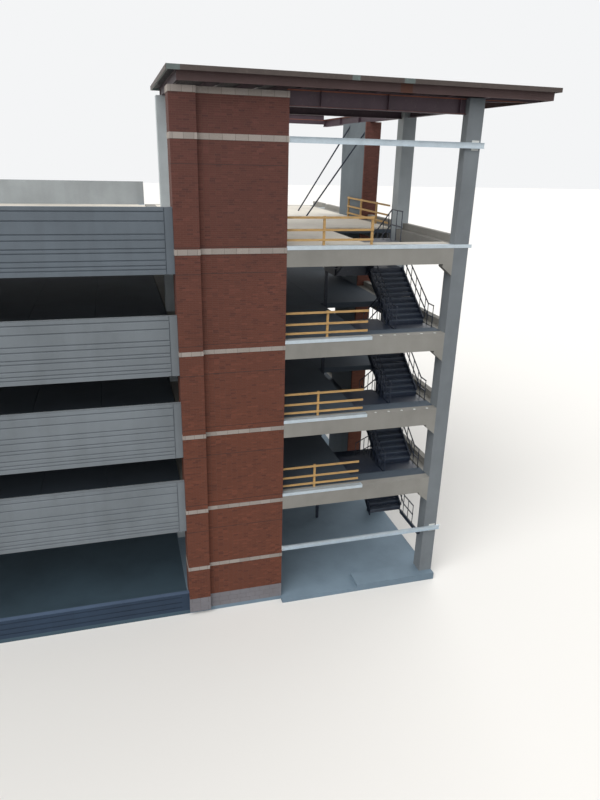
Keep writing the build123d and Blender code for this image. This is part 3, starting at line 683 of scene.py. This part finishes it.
def panel_concrete(park):
    """Concrete of the ribbed panels. The top panels and the reveals' bottoms have darker tints of painted
    shade, and the plain backs a paler tint of painted light."""
    colours = park.colours
    low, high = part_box("front_panels")
    rear_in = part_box("rear_panels")[0].y
    west_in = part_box("west_panels")[1].x
    dirt_and_shade = park.concrete.panel_shade_depths
    foot = high.z - park.concrete.panel_height
    # Painted shade of the roof on the top deck's panels
    zones = [("Z", foot - ZONE_MARGIN, high.z + ZONE_MARGIN, colours.shaded_panel_top),
             # Painted shade in the reveals: the faces between the two depths behind an outer face are tinted
             # darker
             depth_zone("Y", low.y, dirt_and_shade, colours.reveal),
             depth_zone("Y", -low.y, dirt_and_shade, colours.reveal),
             depth_zone("X", low.x, dirt_and_shade, colours.reveal),
             # Painted light on the plain inner faces of the rear and west panels
             face_zone("Y", rear_in, colours.lit_panel_back),
             face_zone("Y", -rear_in, colours.lit_panel_back),
             face_zone("X", west_in, colours.lit_panel_back)]
    return cast_concrete("precast_panel_concrete", colours.panel, blotch=2860, streaks=0.5, sand=3.8,
                         zones=zones)


def low_wall_concrete(park):
    """Concrete of the low walls. Their reveals' bottoms have a darker tint of painted shade, and their top
    faces a paler tint of painted light.
    """
    colours = park.colours
    low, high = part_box("low_walls")
    dirt_and_shade = park.concrete.low_wall_shade_depths
    # Painted shade in the low walls' reveals, tinted darker between the two depths behind the outer face
    zones = [depth_zone("Y", low.y, dirt_and_shade, colours.low_wall_reveal_shade),
             depth_zone("Y", high.y, dirt_and_shade, colours.low_wall_reveal_shade),
             depth_zone("X", low.x, dirt_and_shade, colours.low_wall_reveal_shade),
             # Painted light on the low walls' top faces
             face_zone("Z", high.z, colours.lit_low_wall_top)]
    return cast_concrete("precast_low_wall_concrete", colours.low_wall, blotch=2860, streaks=0.5, sand=3.8,
                         zones=zones)


def slab_concretes(park):
    """Concretes of the ground slab, with painted shade under the decks, and of the decks: painted shade under
    cover and painted sunlight on the open deck.
    """
    colours = park.colours
    shaded = ("X", cad_low.x - ZONE_MARGIN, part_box("pier_brick")[0].x, colours.ground_deck)
    ground = floated_slab("floated_ground_slab", colours.ground, [shaded])
    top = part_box("deck_tees")[1].z
    # Painted sunlight on the top skin of the open deck
    painted_sunlight = ("Z", top - park.concrete.deck_skin, top + ZONE_MARGIN, colours.sunlit_deck_top)
    deck = floated_slab("precast_deck_concrete", colours.deck, [painted_sunlight])
    return ground, deck


def roof_primers(park):
    """Primers of the girders, with rust lines at the front girder's heights, of the rims with their rusty
    patch, and of the roof's edge with its splice plates."""
    colours = park.colours
    s = park.steel
    low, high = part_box("front_girder")
    rust_lines = [("Z", high.z - s.rust_drops[1], high.z - s.rust_drops[0], colours.rust),
                  ("Z", low.z + s.rust_rises[0], low.z + s.rust_rises[1], colours.rust)]
    girder = painted_steel("girder_primer", colours.roof_steel, colours.steel_dust, rough=0.6,
                           zones=rust_lines)
    patch = ("X", *s.rusty_rim, colours.rim_rust)
    rim = painted_steel("rim_primer", colours.rim, colours.rim_dust, rough=0.6, zones=[patch])
    ends = tuple(s.splices)
    plates = [("X", start, end, colours.splice) for start, end in zip(ends[0::2], ends[1::2])]
    fascia = painted_steel("fascia_primer", colours.fascia, colours.fascia_dust, rough=0.6, zones=plates)
    return girder, rim, fascia


# Stage

def add_floor(park):
    """A pale floor that throws back less light than its look suggests, so the undersides stay dark."""
    bm = bmesh.new()
    bmesh.ops.create_grid(bm, x_segments=1, y_segments=1, size=park.stage.floor_reach)
    mesh = bpy.data.meshes.new("studio_floor")
    bm.to_mesh(mesh)
    bm.free()
    floor = bpy.data.objects.new("studio_floor", mesh)
    bpy.context.scene.collection.objects.link(floor)
    material, tree, shader = new_material("pale_floor")[:3]
    rays = add_node(tree, "ShaderNodeLightPath")
    seen = rays.outputs["Is Camera Ray"]
    for kind in ("Is Glossy Ray", "Is Transmission Ray"):
        either = add_node(tree, "ShaderNodeMath", {"operation": "MAXIMUM"}, {0: seen, 1: rays.outputs[kind]})
        seen = either.outputs[0]
    tint = mix(tree, seen, park.colours.floor_bounce, park.colours.floor)
    tree.links.new(tint, shader.inputs["Base Color"])
    shader.inputs["Roughness"].default_value = 0.9
    mesh.materials.append(material)


def add_world(park):
    """Soft white light from all round, and a pale backdrop that only the camera sees."""
    world = bpy.data.worlds.new("studio")
    bpy.context.scene.world = world
    world.use_nodes = True
    tree = world.node_tree
    tree.nodes.clear()
    around = add_node(tree, "ShaderNodeTexCoord").outputs["Generated"]
    height = add_node(tree, "ShaderNodeSeparateXYZ", links={0: around}).outputs["Z"]
    fill = add_node(tree, "ShaderNodeMapRange", {"To Min": park.stage.horizon, "To Max": park.stage.zenith},
                    {"Value": height})
    light = add_node(tree, "ShaderNodeBackground", {"Color": grey(1)}, {"Strength": fill.outputs[0]})
    seen = add_node(tree, "ShaderNodeBackground", {"Color": park.colours.backdrop, "Strength": 1.0})
    rays = add_node(tree, "ShaderNodeLightPath")
    both = add_node(tree, "ShaderNodeMixShader", links={0: rays.outputs["Is Camera Ray"]})
    tree.links.new(light.outputs[0], both.inputs[1])
    tree.links.new(seen.outputs[0], both.inputs[2])
    add_node(tree, "ShaderNodeOutputWorld", links={"Surface": both.outputs[0]})


def add_light(name, energy, direction, softness):
    """A soft light that shines from a direction."""
    lamp = bpy.data.lights.new(name, "SUN")
    lamp.energy = energy
    lamp.angle = softness
    light = bpy.data.objects.new(name, lamp)
    light.matrix_world = Vector(direction).to_track_quat("Z", "Y").to_matrix().to_4x4()
    bpy.context.scene.collection.objects.link(light)


def add_camera(stage):
    """The camera, solved from the photograph's vanishing lines."""
    data = bpy.data.cameras.new("camera")
    data.sensor_width = stage.sensor
    data.lens = stage.lens
    data.clip_end = stage.sight
    camera = bpy.data.objects.new("camera", data)
    turn = Matrix.Rotation(-stage.heading, 4, "Z") @ Matrix.Rotation(pi / 2 - stage.dip, 4, "X")
    camera.matrix_world = Matrix.Translation(stage.camera_at) @ turn @ Matrix.Rotation(stage.roll, 4, "Z")
    bpy.context.scene.collection.objects.link(camera)
    bpy.context.scene.camera = camera


# Operators

class CARPARK_OT_finishes(bpy.types.Operator):
    """Gives every carried-over piece its material"""
    bl_idname = "carpark.finishes"
    bl_label = "Finishes"

    def execute(self, context):
        park = context.scene.car_park
        colours = park.colours
        panel = panel_concrete(park)
        beam = cast_concrete("precast_beam_concrete", colours.concrete)
        column = cast_concrete("precast_column_concrete", colours.column, blotch=1670, streaks=0.4)
        # Painted shade on the east pier wall
        shaded_pier = cast_concrete("shaded_pier_concrete", colours.shaded_pier, blotch=1670, streaks=0.5)
        # Painted light on the inner and deck columns
        lit_hall_column = cast_concrete("lit_inner_column_concrete", colours.lit_hall_column, blotch=1670,
                                    streaks=0.4)
        ground, deck = slab_concretes(park)
        mortar = mortar_bed("brick_mortar", colours.mortar)
        bed = mortar_bed("stone_mortar", colours.stone_mortar)
        galvanised = zinc("galvanised_steel", colours.galvanised)
        clip = painted_steel("clip_primer", colours.clip, colours.clip_dust, rough=0.6)
        stair = painted_steel("satin_stair_paint", colours.stair, colours.stair_dust, rough=0.42)
        # Painted highlight on the treads
        tread = painted_steel("tread_paint_painted_highlight", colours.tread, colours.tread_dust, rough=0.5)
        girder, rim, fascia = roof_primers(park)
        timber = sawn_timber("sawn_softwood", colours.timber)
        finishes = {
            panel: ["front_panels", "rear_panels", "west_panels", "low_walls"],
            beam: ["panel_ledges", "pier_brackets", "corbels", "front_beams", "east_beams", "inner_beams"],
            column: ["corner_column"],
            shaded_pier: ["east_pier_wall"],
            lit_hall_column: ["deck_columns", "hall_columns"],
            ground: ["ground_slab", "front_curb", "column_plinth"],
            deck: ["deck_tees", "deck_strips", "hall_floors"],
            mortar: ["pier_brick", "east_pier_brick"],
            bed: ["pier_bands", "pier_base"],
            galvanised: ["girts", "edge_angles", "roof_sheet"],
            clip: ["girt_clips"],
            tread: ["stair_treads"],
            stair: ["stair_risers", "stair_stringers", "stair_landings", "stair_platforms",
                    "stair_posts", "stair_rails", "stair_balusters", "pipe_braces"],
            girder: ["roof_joists", "front_girder", "rear_girders", "roof_brackets", "roof_post"],
            rim: ["roof_rims", "roof_end_rim"],
            fascia: ["roof_fascia"],
            timber: ["guard_posts", "guard_rails"],
        }
        for material, names in finishes.items():
            for name in names:
                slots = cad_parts[name].data.materials
                slots.clear()
                slots.append(material)
        return {"FINISHED"}


class CARPARK_OT_low_walls(bpy.types.Operator):
    """Makes the ground storey's low walls with level reveals in their outer faces"""
    bl_idname = "carpark.low_walls"
    bl_label = "Low walls"

    def execute(self, context):
        park = context.scene.car_park
        walls = joined(revealed_wall(low, high, park.concrete) for low, high in solid_boxes("low_walls"))
        finish_piece(walls, "revealed_low_walls", low_wall_concrete(park), ("low_walls",))
        return {"FINISHED"}


class CARPARK_OT_bricks(bpy.types.Operator):
    """Lays the bricks of both brick piers in running bond, course by course between the stone bands"""
    bl_idname = "carpark.bricks"
    bl_label = "Bricks"

    def execute(self, context):
        m = context.scene.car_park.masonry
        clay = fired_brick("fired_clay_brick", context.scene.car_park.colours, m.painted_shade_heights)
        course = m.brick_height + m.joint
        brick = (m.brick_length, m.joint, m.brick_depth, m.proud)
        faces = pier_faces(m)
        rows = []
        for z0, z1 in level_runs("pier_brick"):
            rows += masonry_rows(faces, z0, z1, course, brick)
        give_tones(finish_piece(blocks(rows), "front_pier_bricks", clay), m.tones)
        low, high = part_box("east_pier_brick")
        corners = [flat(low.x, high.y), flat(low.x, low.y), flat(high.x, low.y), flat(high.x, high.y)]
        faces = [(corners[0], corners[1], flat(-1, 0), False, True),
                 (corners[1], corners[2], flat(0, -1), True, True),
                 (corners[2], corners[3], flat(1, 0), True, False)]
        rows = masonry_rows(faces, low.z, high.z, course, brick)
        give_tones(finish_piece(blocks(rows), "east_pier_bricks", clay), m.tones + 1)
        return {"FINISHED"}


class CARPARK_OT_stones(bpy.types.Operator):
    """Sets the smooth stones of the bands and the rough stones of the base"""
    bl_idname = "carpark.stones"
    bl_label = "Band and base stones"

    def execute(self, context):
        m = context.scene.car_park.masonry
        colours = context.scene.car_park.colours
        smooth = cast_stone("cast_band_stone", colours.band, spread=0.12, relief=0.003)
        split = cast_stone("cast_base_stone", colours.base, spread=0.04, relief=0.012)
        faces = pier_faces(m)
        band_stone = (m.stone_length, m.joint, m.brick_depth, m.band_proud + m.stone_proud)
        rows = []
        for z0, z1 in level_runs("pier_bands"):
            rows += masonry_rows(faces, z0 + m.joint / 2, z1 + m.joint / 2, z1 - z0, band_stone)
        give_tones(finish_piece(blocks(rows), "band_stones", smooth), m.tones + 2)
        base_stone = (m.stone_length, m.joint, m.brick_depth, m.base_proud)
        low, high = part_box("pier_base")
        rows = masonry_rows(faces, low.z, high.z, m.base_course, base_stone)
        give_tones(finish_piece(blocks(rows), "base_stones", split), m.tones + 3)
        return {"FINISHED"}


class CARPARK_OT_sealant(bpy.types.Operator):
    """Runs sealant round the front pier at each level joint, and up its inner corner"""
    bl_idname = "carpark.sealant"
    bl_label = "Sealant joints"

    def execute(self, context):
        m = context.scene.car_park.masonry
        colours = context.scene.car_park.colours
        faces = pier_faces(m)
        bm = bmesh.new()
        for z in m.seal_levels:
            for start, end, outward, outer_start, outer_end in faces:
                along = (end - start).normalized()
                reach = {True: m.proud, False: -m.proud}
                points = [start - along * reach[outer_start], end + along * reach[outer_end]]
                points += [point + outward * (m.proud + m.seal_proud) for point in points]
                low = [min(point[axis] for point in points) for axis in (0, 1)]
                high = [max(point[axis] for point in points) for axis in (0, 1)]
                add_box(bm, (*low, z - m.seal / 2), (*high, z + m.seal / 2))
        # The pier's one inner corner is where its third face ends
        inner = faces[2][1]
        low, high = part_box("pier_brick")
        add_box(bm, (inner.x, inner.y - m.proud - m.seal, low.z),
                (inner.x + m.proud + m.seal, inner.y, high.z))
        seal = painted_steel("polyurethane_sealant", colours.seal, colours.seal_dust, rough=0.7)
        finish_piece(bm, "pier_sealant", seal)
        return {"FINISHED"}


class CARPARK_OT_inserts(bpy.types.Operator):
    """Sets the round weld plates on the stair part of two front beams"""
    bl_idname = "carpark.inserts"
    bl_label = "Weld plates"

    def execute(self, context):
        s = context.scene.car_park.steel
        colours = context.scene.car_park.colours
        bm = bmesh.new()
        tops = [top for foot, top in level_runs("front_beams")]
        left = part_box("pier_brick")[0].x
        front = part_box("front_beams")[0].y
        # Only the second and third beams from below have plates
        for top in tops[1:3]:
            for k in range(s.plates):
                spot = (left + s.plate_from + k * s.plate_step, front + s.plate_back, top + s.plate_t / 2)
                bmesh.ops.create_cone(bm, cap_ends=True, segments=ROUND_SIDES, radius1=s.plate / 2,
                                      radius2=s.plate / 2, depth=s.plate_t, matrix=Matrix.Translation(spot))
        primer = painted_steel("weld_plate_primer", colours.clip, colours.clip_dust, rough=0.6)
        finish_piece(bm, "beam_inserts", primer)
        return {"FINISHED"}


class CARPARK_OT_roof_sheet(bpy.types.Operator):
    """Folds the ribbed steel sheet of the roof, which spans from joist to joist"""
    bl_idname = "carpark.roof_sheet"
    bl_label = "Roof sheet"

    def execute(self, context):
        s = context.scene.car_park.steel
        colours = context.scene.car_park.colours
        low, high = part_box("roof_sheet")
        width = high.y - low.y
        count = round(width / s.rib_pitch)
        pitch = width / count
        pan = (pitch - s.rib_top) / 2 - s.rib_slope
        down = low.z + s.sheet / 2
        up = high.z - s.sheet / 2
        fold = [(0, down), (pan, down), (pan + s.rib_slope, up), (pitch - pan - s.rib_slope, up),
                (pitch - pan, down), (pitch, down)]
        bm = bmesh.new()
        chain = [bm.verts.new((low.x, low.y + y, z)) for y, z in fold]
        for a, b in zip(chain, chain[1:]):
            bm.edges.new((a, b))
        made = bmesh.ops.extrude_edge_only(bm, edges=bm.edges[:])["geom"]
        bmesh.ops.translate(bm, verts=points_of(made), vec=(high.x - low.x, 0, 0))
        first = bm.verts[:] + bm.edges[:] + bm.faces[:]
        for k in range(1, count):
            copy = bmesh.ops.duplicate(bm, geom=first)["geom"]
            bmesh.ops.translate(bm, verts=points_of(copy), vec=(0, k * pitch, 0))
        bmesh.ops.remove_doubles(bm, verts=bm.verts, dist=CLOSE)
        # Painted shade: the sheet's dark tint stands for the shade under the roof
        primer = painted_steel("roof_sheet_painted_shade", colours.sheet, colours.sheet_dust, rough=0.5)
        piece = finish_piece(bm, "roof_ribbed_sheet", primer, ("roof_sheet",))
        skin = piece.modifiers.new("thickness", "SOLIDIFY")
        skin.thickness = s.sheet
        skin.offset = 0
        return {"FINISHED"}


class CARPARK_OT_stage(bpy.types.Operator):
    """Sets the pale floor, the soft light and the camera"""
    bl_idname = "carpark.stage"
    bl_label = "Stage"

    def execute(self, context):
        park = context.scene.car_park
        stage = park.stage
        add_floor(park)
        add_world(park)
        add_light("key_light", stage.key, stage.key_from, stage.softness)
        add_light("back_light", stage.back, stage.back_from, stage.softness)
        add_camera(stage)
        context.scene.view_settings.view_transform = "Standard"
        return {"FINISHED"}


class CARPARK_PT_panel(bpy.types.Panel):
    """Lists the steps that dress the car park"""
    bl_label = "Car Park"
    bl_idname = "CARPARK_PT_panel"
    bl_space_type = "VIEW_3D"
    bl_region_type = "UI"
    bl_category = "Car Park"

    def draw(self, context):
        for step in STEPS:
            self.layout.operator(step.bl_idname)


STEPS = (CARPARK_OT_finishes, CARPARK_OT_low_walls, CARPARK_OT_bricks, CARPARK_OT_stones,
         CARPARK_OT_sealant, CARPARK_OT_inserts, CARPARK_OT_roof_sheet, CARPARK_OT_stage)
CLASSES = (CarParkMasonry, CarParkConcrete, CarParkSteel, CarParkColours, CarParkStage, CarParkSettings,
           *STEPS, CARPARK_PT_panel)


def register():
    """Adds the classes and the scene's settings."""
    for cls in CLASSES:
        bpy.utils.register_class(cls)
    bpy.types.Scene.car_park = PointerProperty(type=CarParkSettings)


def unregister():
    """Takes the settings and the classes away."""
    del bpy.types.Scene.car_park
    for cls in reversed(CLASSES):
        bpy.utils.unregister_class(cls)


def main():
    """Runs every step."""
    register()
    for step in STEPS:
        group, name = step.bl_idname.split(".")
        getattr(getattr(bpy.ops, group), name)()
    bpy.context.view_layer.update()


if __name__ == "__main__":
    main()
